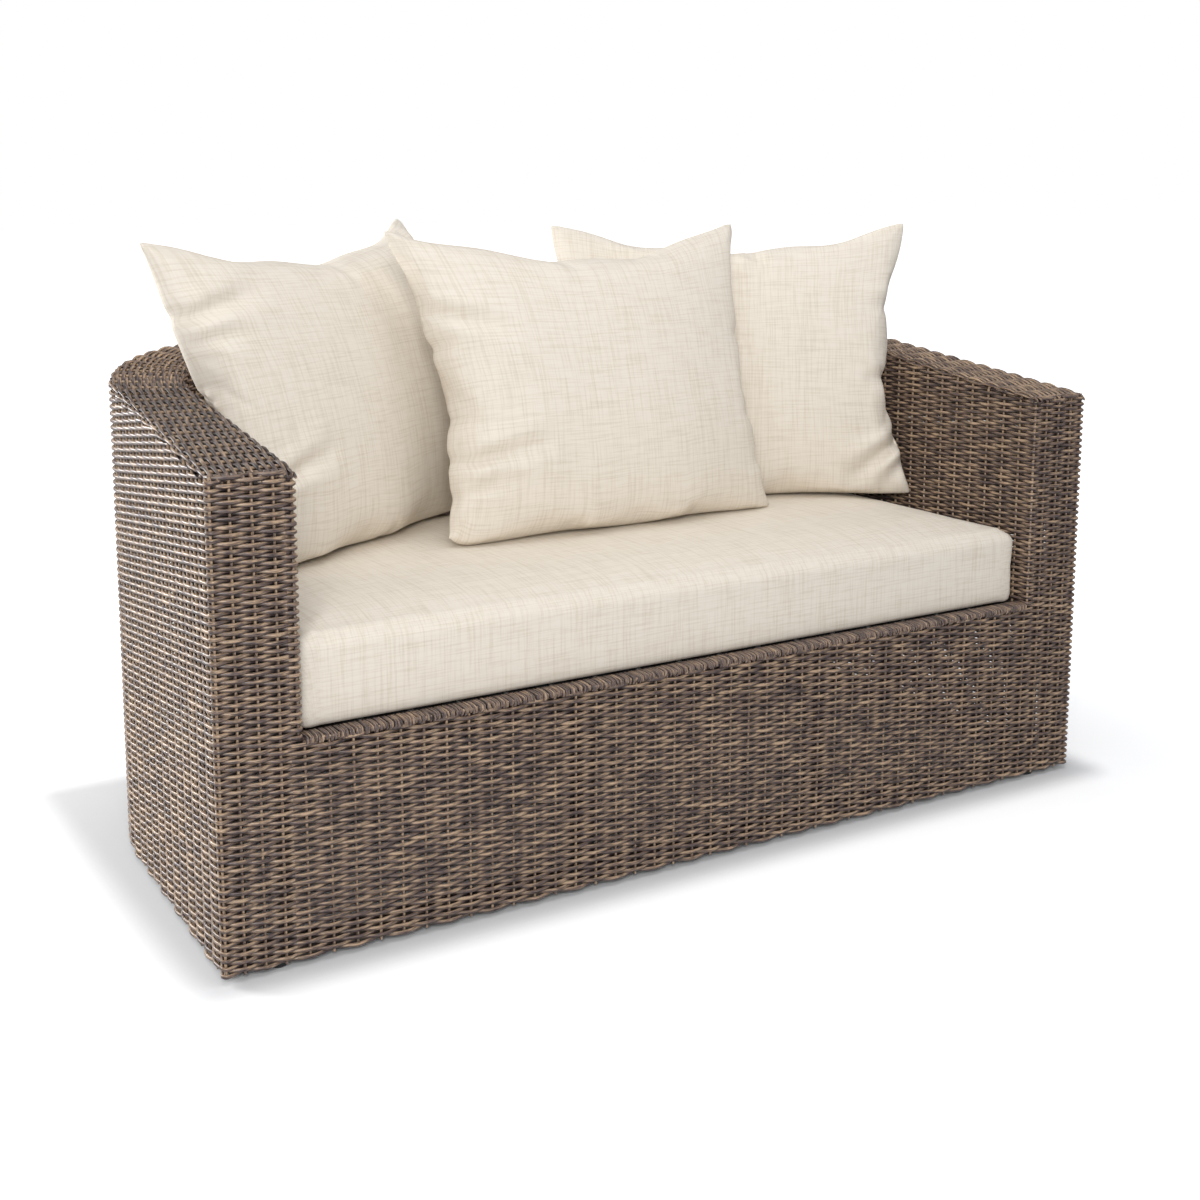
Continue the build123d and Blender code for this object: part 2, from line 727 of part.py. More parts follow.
def pillow(side):
    """Cover, filling, zip tape and slider of one pillow, where it leans."""
    turn, lean = radians(pillow_turns[side]), radians(pillow_leans[side])
    right = Vector(cos(turn), sin(turn), 0)
    back = Vector(-sin(turn), cos(turn), 0)
    up = back * sin(lean) + Vector(0, 0, cos(lean))
    rise = pillow_height / 2 + pillow_bottom_bow
    foot = Vector(*pillow_foot(side), cushion_top + pillow_lift)
    middle = foot + up * rise
    plane = Plane(origin=middle, x_dir=right, z_dir=right.cross(up))

    level, depth, slope = pillow_back_point(pillow_zip_rise)
    outward = Vector(0, -sin(slope), -cos(slope))
    seat = Plane(origin=(0, level, -depth), x_dir=(1, 0, 0), z_dir=outward)
    tape = seat.location * block(
        -pillow_zip_length / 2, pillow_zip_length / 2, -zip_width / 2, zip_width / 2,
        -zip_depth, zip_proud)
    slider_seat = seat.offset(zip_proud)

    outside = pillow_form(0, 0)
    inside = pillow_form(pillow_fill_inset - cover_slack, cover_thickness)
    filling = pillow_form(pillow_fill_inset, cover_thickness + cover_slack)
    return {
        "cover": plane.location * (outside - inside - tape),
        "filling": plane.location * (filling - tape),
        "zip": plane.location * tape,
        "zip_slider": plane.location * (slider_seat.location * zip_slider(pillow_zip_length)),
    }


# Assembly
def build():
    """All nodes by name."""
    feet, screws, holes = glides()
    nodes = {}
    nodes.update(woven_shell())
    nodes.update(base_rails(holes))
    nodes.update(rim_tubes())
    nodes.update(posts())
    nodes.update(seat_frame())
    nodes["glides"] = Compound(feet)
    nodes["glide_screws"] = Compound(screws)
    nodes.update(deck())
    nodes.update(seat_cushion())
    for side in pillow_turns:
        for piece, solid in pillow(side).items():
            nodes["pillow_" + side + "_" + piece] = solid
    return nodes


os.makedirs("parts", exist_ok=True)
for node_name, node_shape in build().items():
    export_step(node_shape, os.path.join("parts", node_name + ".step"))
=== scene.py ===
# %% [markdown]
# # A woven resin patio loveseat
# The sofa is a horseshoe of woven walls round a seat. Round resin strands run level
# round the walls, in front of one upright stake and behind the next. A boxed cushion
# fills the seat, and three loose pillows lean in it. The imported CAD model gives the
# places, and this lesson gives every surface its looks.

# %% Load the frame
from math import atan, cos, hypot, pi, radians, sin

import bmesh
import bpy
import numpy as np
from mathutils import Matrix, Vector


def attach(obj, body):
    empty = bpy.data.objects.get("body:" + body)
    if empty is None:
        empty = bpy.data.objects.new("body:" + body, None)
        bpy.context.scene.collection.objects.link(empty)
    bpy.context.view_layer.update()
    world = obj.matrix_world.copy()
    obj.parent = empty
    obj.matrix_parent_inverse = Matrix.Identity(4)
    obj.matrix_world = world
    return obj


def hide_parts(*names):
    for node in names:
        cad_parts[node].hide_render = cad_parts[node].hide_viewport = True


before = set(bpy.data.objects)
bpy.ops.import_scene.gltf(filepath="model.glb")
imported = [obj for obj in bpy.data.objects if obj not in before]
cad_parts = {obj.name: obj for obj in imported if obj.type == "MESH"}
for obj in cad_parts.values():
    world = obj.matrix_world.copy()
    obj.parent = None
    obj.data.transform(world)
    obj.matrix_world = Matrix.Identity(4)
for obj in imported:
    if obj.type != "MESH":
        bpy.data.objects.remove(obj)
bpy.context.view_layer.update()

# %% [markdown]
# ## The camera
# The picture was taken from the front left, a little above the arms, with the lens
# pointing down by nine degrees. Its straight edges give the focal length and the
# place. The picture's middle isn't the lens's middle, so the camera has a small shift.

# %% Camera
camera_data = bpy.data.cameras.new("photo_camera")
camera = bpy.data.objects.new("photo_camera", camera_data)
bpy.context.scene.collection.objects.link(camera)
camera_data.lens = 49.65
camera_data.sensor_width = 36.0
camera_data.shift_x = 0.0208
camera_data.shift_y = -0.1275
camera.location = (-1.374, -2.252, 0.996)
camera.rotation_euler = (radians(90 - 9.26), 0, radians(-31.27))
bpy.context.scene.camera = camera
print("camera at", tuple(camera.location))

# %% [markdown]
# ## Shader helpers
# A material is a small calculation. Writing it as Python expressions keeps it
# readable: one class wraps a socket, and its operators add Math nodes. Every other
# node comes from one method that takes the node's type, its settings and its inputs.


# %% Sockets as Python values
class Wire:
    """A value on its way through a material."""

    def __init__(self, finish, socket):
        self.finish, self.socket = finish, socket

    def math(self, operation, *values):
        return self.finish.node("ShaderNodeMath", {"operation": operation}, values)

    def __add__(self, other):
        return self.math("ADD", self, other)

    def __sub__(self, other):
        return self.math("SUBTRACT", self, other)

    def __mul__(self, other):
        return self.math("MULTIPLY", self, other)

    __radd__, __rmul__ = __add__, __mul__


class Finish:
    """A material, or the world, that is written as expressions."""

    def __init__(self, name, owner=None):
        self.material = owner or bpy.data.materials.new(name)
        self.material.use_nodes = True
        self.tree = self.material.node_tree
        self.shader = self.tree.nodes.get("Principled BSDF") or self.tree.nodes["Background"]

    def node(self, kind, settings=None, inputs=(), output=0):
        made = self.tree.nodes.new(kind)
        for key, value in (settings or {}).items():
            if key == "stops":
                self.set_stops(made.color_ramp, value)
            else:
                setattr(made, key, value)
        pairs = inputs.items() if isinstance(inputs, dict) else enumerate(inputs)
        for key, value in pairs:
            self.feed(made.inputs[key], value)
        return Wire(self, made.outputs[output])

    def set_stops(self, ramp, stops):
        while len(ramp.elements) < len(stops):
            ramp.elements.new(0.5)
        for element, (place, colour) in zip(ramp.elements, stops):
            element.position, element.color = place, colour

    def feed(self, socket, value):
        if isinstance(value, Wire):
            self.tree.links.new(value.socket, socket)
        else:
            socket.default_value = value

    def set(self, **values):
        for key, value in values.items():
            self.feed(self.shader.inputs[key.replace("_", " ")], value)

    def mix(self, share, first, second, blend="MIX"):
        """A colour between two colours."""
        return self.node(
            "ShaderNodeMix", {"data_type": "RGBA", "blend_type": blend},
            {0: share, 6: first, 7: second}, output=2)

    def noise(self, place, scale, detail=2.0, roughness=0.5):
        return self.node(
            "ShaderNodeTexNoise", {},
            {"Vector": place, "Scale": scale, "Detail": detail, "Roughness": roughness})

    def ramp(self, value, *stops):
        return self.node("ShaderNodeValToRGB", {"stops": stops}, {0: value})

    def span(self, value, low, high):
        """How far a value is from a low to a high mark, from 0 to 1."""
        return self.node(
            "ShaderNodeMapRange", {"interpolation_type": "SMOOTHSTEP"},
            {"Value": value, "From Min": low, "From Max": high})

    def bump(self, height, strength, distance):
        return self.node(
            "ShaderNodeBump", {},
            {"Height": height, "Strength": strength, "Distance": distance})

    def attribute(self, name):
        """The three numbers that a mesh carries under a name."""
        vector = self.node("ShaderNodeAttribute", {"attribute_name": name}, (), "Vector")
        return self.parts(vector)

    def parts(self, vector):
        node = self.node("ShaderNodeSeparateXYZ", {}, (vector,))
        return [Wire(self, out) for out in node.socket.node.outputs]

    def joined(self, x, y, z):
        return self.node("ShaderNodeCombineXYZ", {}, (x, y, z))

    def place(self):
        """Where a point is on its own object."""
        return self.node("ShaderNodeTexCoord", {}, (), "Object")


def rgb(red, green, blue):
    """A colour picked on screen, as the linear light that the shader needs."""
    linear = [(c / 255) ** 2.2 for c in (red, green, blue)]
    return (*linear, 1.0)


print("shader helpers ready")

# %% [markdown]
# ## The resin strands' finish
# The strands are extruded in two tones, a bluish brown grey with tan along one side,
# and they twist a little as they are woven, so the tan comes and goes. The upper side
# of a level strand is lighter, partly its tan side and partly a painted highlight of the
# light from above. They have a satin skin. Each strand mesh carries the length along its
# strand, the strand's number, how far back in the weave it lies and the place round the
# strand, so the streaks run with the strand round each corner. Strands further back get
# painted shade, darker as the hollows of the weave would be.


# %% Resin finish
strand_shift = 3.7


def strand_finish():
    finish = Finish("resin_strand")
    along, number, depth = finish.attribute("strand")
    across, out, tan = finish.attribute("skin")
    own = number * strand_shift
    twist = finish.noise(finish.joined(along * 24.0, own, 0.0), 1.0)
    streak = finish.noise(
        finish.joined(along * 70.0, own + across * 1.6, out * 1.6), 1.0, 3.0, 0.6)
    # The across term lightens a level strand's upper side: partly its own tan side, partly a
    # painted highlight of the light from above.
    tone = 0.49 + tan + 0.28 * across + 1.2 * (twist - 0.5) + 1.6 * (streak - 0.5)
    colour = finish.ramp(
        tone,
        (0.10, rgb(46, 38, 37)),
        (0.38, rgb(98, 84, 81)),
        (0.58, rgb(122, 102, 87)),
        (0.84, rgb(182, 155, 128)))
    # Painted shade: points further back in the weave, by their depth note, are darkened as the
    # hollows between strands would be.
    painted_shade = finish.mix(finish.span(depth, -0.9, 0.5), rgb(88, 80, 77), (1, 1, 1, 1))
    fine = finish.noise(finish.joined(along * 160.0, own + across * 5.0, out * 5.0), 1.0)
    finish.set(
        Base_Color=finish.mix(1.0, colour, painted_shade, "MULTIPLY"),
        Roughness=0.22 + 0.20 * streak,
        Normal=finish.bump(fine, 0.3, 0.0003))
    return finish.material


resin = strand_finish()
print("finish", resin.name)

# %% [markdown]
# ## Paths that the weave follows
# The stakes are numbered from the left arm's front corner, round the back, to the
# right arm's front corner. Outer and inner wall have the same stakes, because each
# stake goes up outside, over the rim and down inside. A path is a list of closely
# spaced points, each with its stake number and the direction that it faces. It goes
# round the arm's upright edge as well, with one stake right in the edge.

# %% Sizes of the shell, in metres
half_width, front, back = 0.750, -0.380, 0.380
arm_height, rise = 0.647, 0.093 / 0.760
outer_draw, inner_draw = 0.036 / 0.760, 0.019 / 0.760
arm_width, back_width = 0.119, 0.115
corner_radius = 0.340
ground_gap, deck = 0.008, 0.298
skin = 0.012
upright_edge = 0.011
seat_half = half_width - arm_width
corner_y = back - corner_radius

# %% Stake numbers
side_end, corner_end, last_stake = 12, 25, 72
stake_pitch = 0.034
quarter = 0.25
stretches = {
    "left": (0, side_end),
    "left_corner": (side_end, corner_end),
    "back": (corner_end, last_stake - corner_end),
    "right_corner": (last_stake - corner_end, last_stake - side_end),
    "right": (last_stake - side_end, last_stake),
}


def rim_height(y):
    """How high the rim is, which rises to the back."""
    return arm_height + rise * (y - front)


# %% Stretches of a path
def straight(first, last, start, end, facing):
    """Points on a line: stake number, x, y and the direction that they face."""
    share = np.linspace(0, 1, 40)
    stake = first + (last - first) * share
    x = start[0] + (end[0] - start[0]) * share
    y = start[1] + (end[1] - start[1]) * share
    return np.stack([stake, x, y, 0 * x + facing[0], 0 * x + facing[1]], 1)


def curved(first, last, centre, radius, start, end, sign=1):
    """Points on an arc. A sign of -1 faces its centre."""
    share = np.linspace(0, 1, 60)
    angle = start + (end - start) * share
    stake = first + (last - first) * share
    across, ahead = np.cos(angle), np.sin(angle)
    x, y = centre[0] + radius * across, centre[1] + radius * ahead
    return np.stack([stake, x, y, sign * across, sign * ahead], 1)


def shell_path(half_front, draw, radius, rear, faces_out, rounded):
    """The left half of an outline and its mirror image."""
    def half_at(y):
        return half_front - draw * (y - front)

    sign = 1 if faces_out else -1
    lean = atan(draw)
    centre_x = -(half_at(corner_y) - radius * hypot(1, draw))
    side_top = (centre_x - radius * cos(lean), corner_y + radius * sin(lean))
    facing = (-sign * cos(lean), sign * sin(lean))
    start = front + (upright_edge if rounded else 0)
    parts = []
    if rounded:
        middle = (-half_front + sign * upright_edge, start)
        arm_end = (-seat_half - upright_edge, front) if faces_out else (-half_width, front)
        turn_end = pi if faces_out else 2 * pi
        arm_start = -4 + quarter if faces_out else -4
        parts.append(straight(arm_start, -quarter, arm_end, (middle[0], front), (0, -1)))
        parts.append(curved(-quarter, quarter, middle, upright_edge, 1.5 * pi, turn_end))
    side_start = quarter if rounded else 0
    parts.append(straight(side_start, side_end, (-half_at(start), start), side_top, facing))
    corner = curved(side_end, corner_end, (centre_x, corner_y), radius, pi - lean, pi / 2, sign)
    parts.append(corner)
    parts.append(straight(corner_end, last_stake / 2, (centre_x, rear), (0, rear), (0, sign)))
    left = np.vstack(parts)
    right = left[::-1] * (-1, -1, 1, -1, 1) + (last_stake, 0, 0, 0, 0)
    return np.vstack([left, right])


def on_path(path, stake):
    """X and y at a stake number, and the two parts of the direction that it faces."""
    return [np.interp(stake, path[:, 0], path[:, column]) for column in (1, 2, 3, 4)]


inner_back, inner_radius = back - back_width, corner_radius - back_width
outer_path = shell_path(half_width, outer_draw, corner_radius, back, True, True)
inner_path = shell_path(seat_half, inner_draw, inner_radius, inner_back, False, True)
outer_edge = shell_path(half_width, outer_draw, corner_radius, back, True, False)
inner_edge = shell_path(seat_half, inner_draw, inner_radius, inner_back, False, False)
print("rear corner starts at", [round(float(v), 3) for v in on_path(outer_path, side_end)])

# %% [markdown]
# ## Weaving
# A woven sheet starts flat: one strand is a six-sided tube, swept by a spin with no
# turn, and more spins copy it row by row. Then every vertex moves from its flat place
# (step along the strand, row number, place round the strand) to its place on the wall,
# with the wave that takes the strand in front of one stake and behind the next. The
# stakes are thin tubes in the middle of the sheet. Real strands hold up close, with
# true gaps and shadows, which a bump map would not.
#
# Flat rows are one unit apart. Each kind of strand has its own first number, because
# a strand's number picks its part of the noise.

# %% Strand sizes
strand_half = 0.0029
strand_thick = 0.0022
row_pitch = 0.00505
wave = 0.0037
stake_radius = 0.0021
stake_tan = 0.22
deck_row = 58
arm_rows = 126
flat_radius = 0.4
# The stakes' depth note sets only how much painted shade they get: a little.
stake_depth = 0.3
first_numbers = {"stakes": 2000, "rim": 900, "rim_stakes": 2600, "wrapping": 4000}


# %% A flat bundle of strands
def flat_bundle(steps, rows, sides=6):
    """Tubes side by side: X counts the steps along, Y the rows. The ends are closed."""
    bundle = bmesh.new()
    turn = Matrix.Rotation(pi / 2, 4, "Y")
    bmesh.ops.create_circle(bundle, segments=sides, radius=flat_radius, matrix=turn)
    bmesh.ops.spin(
        bundle, geom=bundle.edges[:], cent=(0, 0, 0), axis=(0, 0, 1), dvec=(1, 0, 0),
        angle=0, steps=steps)
    open_ends = [edge for edge in bundle.edges if edge.is_boundary]
    bmesh.ops.holes_fill(bundle, edges=open_ends, sides=sides)
    for edge in open_ends:
        edge.smooth = False
    bmesh.ops.recalc_face_normals(bundle, faces=bundle.faces)
    if rows > 1:
        bmesh.ops.spin(
            bundle, geom=bundle.verts[:] + bundle.edges[:] + bundle.faces[:],
            cent=(0, 0, 0), axis=(0, 0, 1), dvec=(0, 1, 0), angle=0,
            steps=rows - 1, use_duplicate=True)
    return bundle


def laid(bundle, place, number_from, tan=0.0):
    """A mesh with the bundle's strands where they lie, and each point's own notes."""
    mesh = bpy.data.meshes.new("strands")
    bundle.to_mesh(mesh)
    bundle.free()
    flat = np.empty(len(mesh.vertices) * 3)
    mesh.vertices.foreach_get("co", flat)
    flat = flat.reshape(-1, 3)
    step, row = np.round(flat[:, 0]).astype(int), np.round(flat[:, 1]).astype(int)
    across, out = (flat[:, 1] - row) / flat_radius, flat[:, 2] / flat_radius
    points, along, depth = place(step, row, across, out)
    mesh.vertices.foreach_set("co", points.ravel())
    notes = {"strand": (along, row + number_from, depth), "skin": (across, out, 0 * out + tan)}
    for name, values in notes.items():
        layer = mesh.attributes.new(name, "FLOAT_VECTOR", "POINT")
        layer.data.foreach_set("vector", np.stack(values, 1).ravel())
    return mesh


def woven(name, meshes, cut=None):
    """One piece from its strands and its stakes, cut off under the rim where asked."""
    whole = bmesh.new()
    for mesh in meshes:
        whole.from_mesh(mesh)
        bpy.data.meshes.remove(mesh)
    if cut:
        bmesh.ops.bisect_plane(
            whole, geom=whole.verts[:] + whole.edges[:] + whole.faces[:],
            plane_co=cut[0], plane_no=cut[1], clear_outer=True)
        bmesh.ops.holes_fill(whole, edges=[e for e in whole.edges if e.is_boundary], sides=8)
    for face in whole.faces:
        face.smooth = True
    mesh = bpy.data.meshes.new(name)
    whole.to_mesh(mesh)
    whole.free()
    mesh.materials.append(resin)
    piece = bpy.data.objects.new(name, mesh)
    bpy.context.scene.collection.objects.link(piece)
    return piece


def over_under(stake, row):
    """How far in front of the middle of the sheet a strand is."""
    return wave * np.cos(pi * (stake + row))


def stake_steps(first, last):
    """Stake numbers at which a strand has a ring, closer together round an arm's edge."""
    even = np.arange(first, last + 0.01, quarter)
    edges = [edge + np.linspace(-quarter, quarter, 9) for edge in (0, last_stake)]
    steps = np.unique(np.round(np.concatenate([even, *edges]), 4))
    return steps[(steps >= first) & (steps <= last)]


print("a strand's ring is", round(stake_pitch * quarter * 1000, 1), "mm from the next")

# %% [markdown]
# ## Outer and inner walls
# Each wall is cut into the same stretches as the CAD model, so that no piece grows too
# heavy. At an arm's front the outer wall stops half a stake behind the upright edge,
# which belongs to the arm front, and the inner wall goes half a stake round it. The
# rows stay level while the rim rises to the back, and a plane just under the rim cuts
# them off.

# %% Walls
rim_overlap = 0.0102
under_rim = Vector((0, front, arm_height - rim_overlap)), Vector((0, -rise, 1)).normalized()


def wall_strands(path, stakes, rows):
    """The level strands of a stretch of wall."""
    def place(step, row, across, out):
        stake, line = stakes[step], rows[row]
        x, y, face_x, face_y = on_path(path, stake)
        lift = over_under(stake, line) + out * strand_thick
        z = ground_gap + strand_half + line * row_pitch + across * strand_half
        away = lift - skin / 2
        points = np.stack([x + face_x * away, y + face_y * away, z], 1)
        return points, stake * stake_pitch, lift / (wave + strand_thick)

    return laid(flat_bundle(len(stakes) - 1, len(rows)), place, int(rows[0]))


def wall_stakes(path, numbers, low, high):
    """The upright stakes of a stretch of wall."""
    def place(step, row, across, out):
        x, y, face_x, face_y = on_path(path, numbers[row])
        side, away = across * stake_radius, out * stake_radius - skin / 2
        x, y = x + face_x * away - face_y * side, y + face_y * away + face_x * side
        z = low + (high - low) * step
        return np.stack([x, y, z], 1), z, stake_depth + 0 * x

    return laid(flat_bundle(1, len(numbers)), place, first_numbers["stakes"], stake_tan)


def wall_piece(name, path, first, last, first_row):
    """One stretch of a wall, its strands and its stakes."""
    stakes = stake_steps(first, last)
    top = rim_height(float(np.max(on_path(path, stakes)[1])))
    rows = np.arange(first_row, int((top - ground_gap) / row_pitch) + 1)
    low = ground_gap + first_row * row_pitch
    uprights = np.arange(np.ceil(first), last - 0.01)
    meshes = [wall_strands(path, stakes, rows), wall_stakes(path, uprights, low, top)]
    return woven(name, meshes, under_rim)


walls = {}
for side, (first, last) in stretches.items():
    for layer, path, inset, first_row in (
            ("outer_weave_", outer_path, 0.5, 0), ("inner_weave_", inner_path, -0.5, deck_row)):
        start = inset if side == "left" else first
        end = last - inset if side == "right" else last
        name = layer + side
        walls[name] = wall_piece(name + "_strands", path, start, end, first_row)
print({name: len(piece.data.polygons) for name, piece in walls.items()})

# %% [markdown]
# ## Rim
# On top the rows run along the rim, and the stakes cross from the outer wall to the
# inner wall. The section goes up the outer edge, round it, across the top, and round
# the inner edge. At the arm's front the strands end behind the last level row.

# %% Rim
edge_round = 0.010
flat_top = arm_width - 2 * edge_round
edge_arc = edge_round * pi / 2
section_length = flat_top + 2 * edge_arc
rim_rows = 25
rim_end = 0.004
nose = 0.010
nose_drop = 0.005


def rim_place(stake, distance, lift, side_step):
    """A point of the rim's sheet. Lift goes out of the sheet."""
    angle = np.clip(pi / 2 - distance / edge_round, 0, pi / 2)
    angle = angle - np.clip((distance - edge_arc - flat_top) / edge_round, 0, pi / 2)
    flat = np.clip(distance - edge_arc, 0, flat_top)
    inward = edge_round + flat - edge_round * np.sin(angle)
    drop = edge_round * (1 - np.cos(angle))
    x_out, y_out, face_x, face_y = on_path(outer_edge, stake)
    x_in, y_in, _, _ = on_path(inner_edge, stake)
    share, reach = inward / arm_width, lift - skin / 2
    x = x_out + (x_in - x_out) * share + face_x * reach * np.sin(angle) - face_y * side_step
    y = y_out + (y_in - y_out) * share + face_y * reach * np.sin(angle) + face_x * side_step
    y = np.maximum(y, front + rim_end)
    near = np.clip((front + rim_end + nose - y) / nose, 0, 1)
    z = rim_height(y) - drop + reach * np.cos(angle) - nose_drop * near ** 2
    return np.stack([x, y, z], 1)


def rim_strands(stakes):
    """The strands that run along the rim."""
    def place(step, row, across, out):
        stake = stakes[step]
        distance = (row + 0.5) * section_length / rim_rows + across * strand_half
        lift = over_under(stake, row) + out * strand_thick
        points = rim_place(stake, distance, lift, 0)
        return points, stake * stake_pitch, lift / (wave + strand_thick)

    return laid(flat_bundle(len(stakes) - 1, rim_rows), place, first_numbers["rim"])


def rim_stakes(numbers, steps=14):
    """The stakes that cross the rim."""
    def place(step, row, across, out):
        distance = step * section_length / steps
        lift, side_step = out * stake_radius, across * stake_radius
        points = rim_place(numbers[row], distance, lift, side_step)
        return points, distance, stake_depth + 0 * distance

    return laid(flat_bundle(steps, len(numbers)), place, first_numbers["rim_stakes"], stake_tan)


for side, (first, last) in stretches.items():
    stakes = np.arange(first, last + 0.01, quarter)
    uprights = np.arange(max(first, 1), min(last, last_stake - 1) + 0.01).astype(int)
    name = "rim_weave_" + side
    walls[name] = woven(name + "_strands", [rim_strands(stakes), rim_stakes(uprights)])
print("rim rows", rim_rows, "over", round(section_length, 3), "m")

# %% [markdown]
# ## Front
# The arm fronts and the front panel are one plane. Below the seat the rows go straight
# on from arm to arm. Above it they turn round the arm's inside edge, and the inner
# wall takes them on. The same path gives both arms, because stake numbers below 0 and
# above the last one are on the arm fronts.

# %% Arm fronts
arm_inside, arm_outside = -3.5, 0.5
arm_fronts = {
    "left": (arm_inside, arm_outside),
    "right": (last_stake - arm_outside, last_stake - arm_inside),
}
for side, (first, last) in arm_fronts.items():
    stakes = stake_steps(first, last)
    uprights = np.arange(np.ceil(first), last).astype(int)
    top = ground_gap + arm_rows * row_pitch
    name = "arm_front_weave_" + side
    walls[name] = woven(name + "_strands", [
        wall_strands(outer_path, stakes, np.arange(arm_rows)),
        wall_stakes(outer_path, uprights, ground_gap, top)])
print("arm fronts", uprights)

# %% Front panel
panel_stakes = 38
panel_half = abs(float(on_path(outer_path, arm_inside)[0]))
panel_marks = [
    (-0.5, -panel_half), (0, -seat_half), (panel_stakes, seat_half),
    (panel_stakes + 0.5, panel_half)]
panel_path = np.vstack([
    straight(first, last, (start, front), (end, front), (0, -1))
    for (first, start), (last, end) in zip(panel_marks, panel_marks[1:])])
panel_steps = np.arange(-0.5, panel_stakes + 0.51, quarter)
walls["front_weave"] = woven("front_weave_strands", [
    wall_strands(panel_path, panel_steps, np.arange(deck_row)),
    wall_stakes(panel_path, np.arange(panel_stakes + 1), ground_gap, deck)])
print("panel from", -panel_half, "to", panel_half)

# %% [markdown]
# ## Wrapped front rail
# The seat's front rail is wrapped: thin strands lie side by side from its front face
# over its top and down behind it. They are a little uneven, so the edge looks furry.

# %% Front rail wrapping
wrap_count = 300
wrap_radius = 0.0024
wrap_tan = 0.02
# The wrapping's depth note keeps it clear of the painted shade.
wrap_depth = 0.6
wrap_step = 0.006
wrap_line = [
    (-0.3765, 0.2935), (-0.3790, 0.2970), (-0.3775, 0.3005), (-0.3730, 0.3018),
    (-0.3630, 0.3022), (-0.3540, 0.3018), (-0.3505, 0.2990),
]


def wrapped_rail():
    """Strands over the rail, each with its own small shift and length."""
    line = np.array(wrap_line)
    pitch = 2 * seat_half / wrap_count

    def place(step, row, across, out):
        y, z = line[step].T
        wander = 0.0009 * np.sin(row * 2.4) + 0.0006 * np.sin(row * 5.1 + step)
        longer = 0.0016 * np.sin(row * 1.7) * (step == 0)
        x = -seat_half + (row + 0.5) * pitch + wander + across * wrap_radius
        y = y - 0.0005 * np.cos(row * 3.3)
        upward = np.where(step < 2, 0.3, np.where(step > 5, 0.5, 1.0))
        forward = np.where(step < 3, -0.8, 0.0) + np.where(step > 5, 0.8, 0.0)
        points = np.stack(
            [x, y + forward * out * wrap_radius, z - longer + upward * out * wrap_radius], 1)
        return points, step * wrap_step, wrap_depth + 0 * x

    bundle = flat_bundle(len(wrap_line) - 1, wrap_count)
    return laid(bundle, place, first_numbers["wrapping"], wrap_tan)


walls["front_rail_wrapping"] = woven("front_rail_wrapping_strands", [wrapped_rail()])
print("wrapping strands", wrap_count)

# %% [markdown]
# ## Finishes of the frame, the deck and the feet
# The tubes have a dark powder coat with a fine orange-peel skin. The webbing is black
# with a ribbed weave, and the glides are moulded plastic.


# %% Frame, deck and feet
def powder_coat():
    finish = Finish("powder_coat")
    place = finish.place()
    peel = finish.noise(place, 900.0, detail=1.0)
    cloud = finish.noise(place, 9.0)
    finish.set(
        Base_Color=finish.mix(cloud, rgb(44, 38, 34), rgb(62, 54, 49)),
        Roughness=0.42 + 0.12 * cloud,
        Normal=finish.bump(peel, 0.3, 0.0003))
    return finish.material


def webbing():
    finish = Finish("seat_webbing")
    ribs = finish.node(
        "ShaderNodeTexWave", {"bands_direction": "DIAGONAL"},
        {"Vector": finish.place(), "Scale": 320.0, "Distortion": 0.4})
    finish.set(
        Base_Color=finish.mix(ribs, rgb(18, 18, 19), rgb(44, 43, 43)),
        Roughness=0.75 + 0.1 * ribs,
        Normal=finish.bump(ribs, 0.6, 0.0006))
    return finish.material


def moulded_black():
    finish = Finish("glide_plastic")
    grain = finish.noise(finish.place(), 600.0)
    finish.set(
        Base_Color=finish.mix(grain, rgb(24, 24, 25), rgb(36, 36, 37)),
        Roughness=0.5 + 0.1 * grain,
        Normal=finish.bump(grain, 0.2, 0.0002))
    return finish.material


def bare_metal(name, dark, light, roughness):
    finish = Finish(name)
    scratch = finish.noise(finish.place(), 500.0, detail=4.0)
    finish.set(
        Base_Color=finish.mix(scratch, dark, light), Metallic=1.0,
        Roughness=roughness + 0.15 * scratch)
    return finish.material


def zip_tape():
    finish = Finish("zip_tape")
    ribs = finish.noise(finish.place(), 700.0, detail=3.0)
    finish.set(
        Base_Color=finish.mix(ribs, rgb(186, 174, 152), rgb(214, 204, 184)),
        Roughness=0.7 + 0.15 * ribs,
        Normal=finish.bump(ribs, 0.4, 0.0003))
    return finish.material


def coat_node(node, material):
    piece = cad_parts[node]
    piece.data.materials.clear()
    piece.data.materials.append(material)


coat, strap, black, fabric_tape = powder_coat(), webbing(), moulded_black(), zip_tape()
steel = bare_metal("zinc_steel", rgb(150, 150, 152), rgb(190, 190, 190), 0.3)
slider_metal = bare_metal("slider_metal", rgb(150, 136, 116), rgb(186, 172, 150), 0.3)
tube_words = ("base_rail", "seat_rail", "rim_t", "posts", "ties", "bars", "legs")
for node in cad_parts:
    if any(word in node for word in tube_words):
        coat_node(node, coat)
    if node.endswith("zip_slider"):
        coat_node(node, slider_metal)
for node in ("cross_straps", "long_straps"):
    coat_node(node, strap)
coat_node("glides", black)
for node in ("glide_screws", "strap_rivets"):
    coat_node(node, steel)
print("tubes coated")

# %% [markdown]
# ## Cushion cloth
# The covers are a cream linen look: warp and weft threads of uneven thickness and tone
# cross at a few millimetres, which reads as a faint, irregular grid. The grid lies in
# the cloth, so each cushion mesh carries where a point is on its own cut panel.


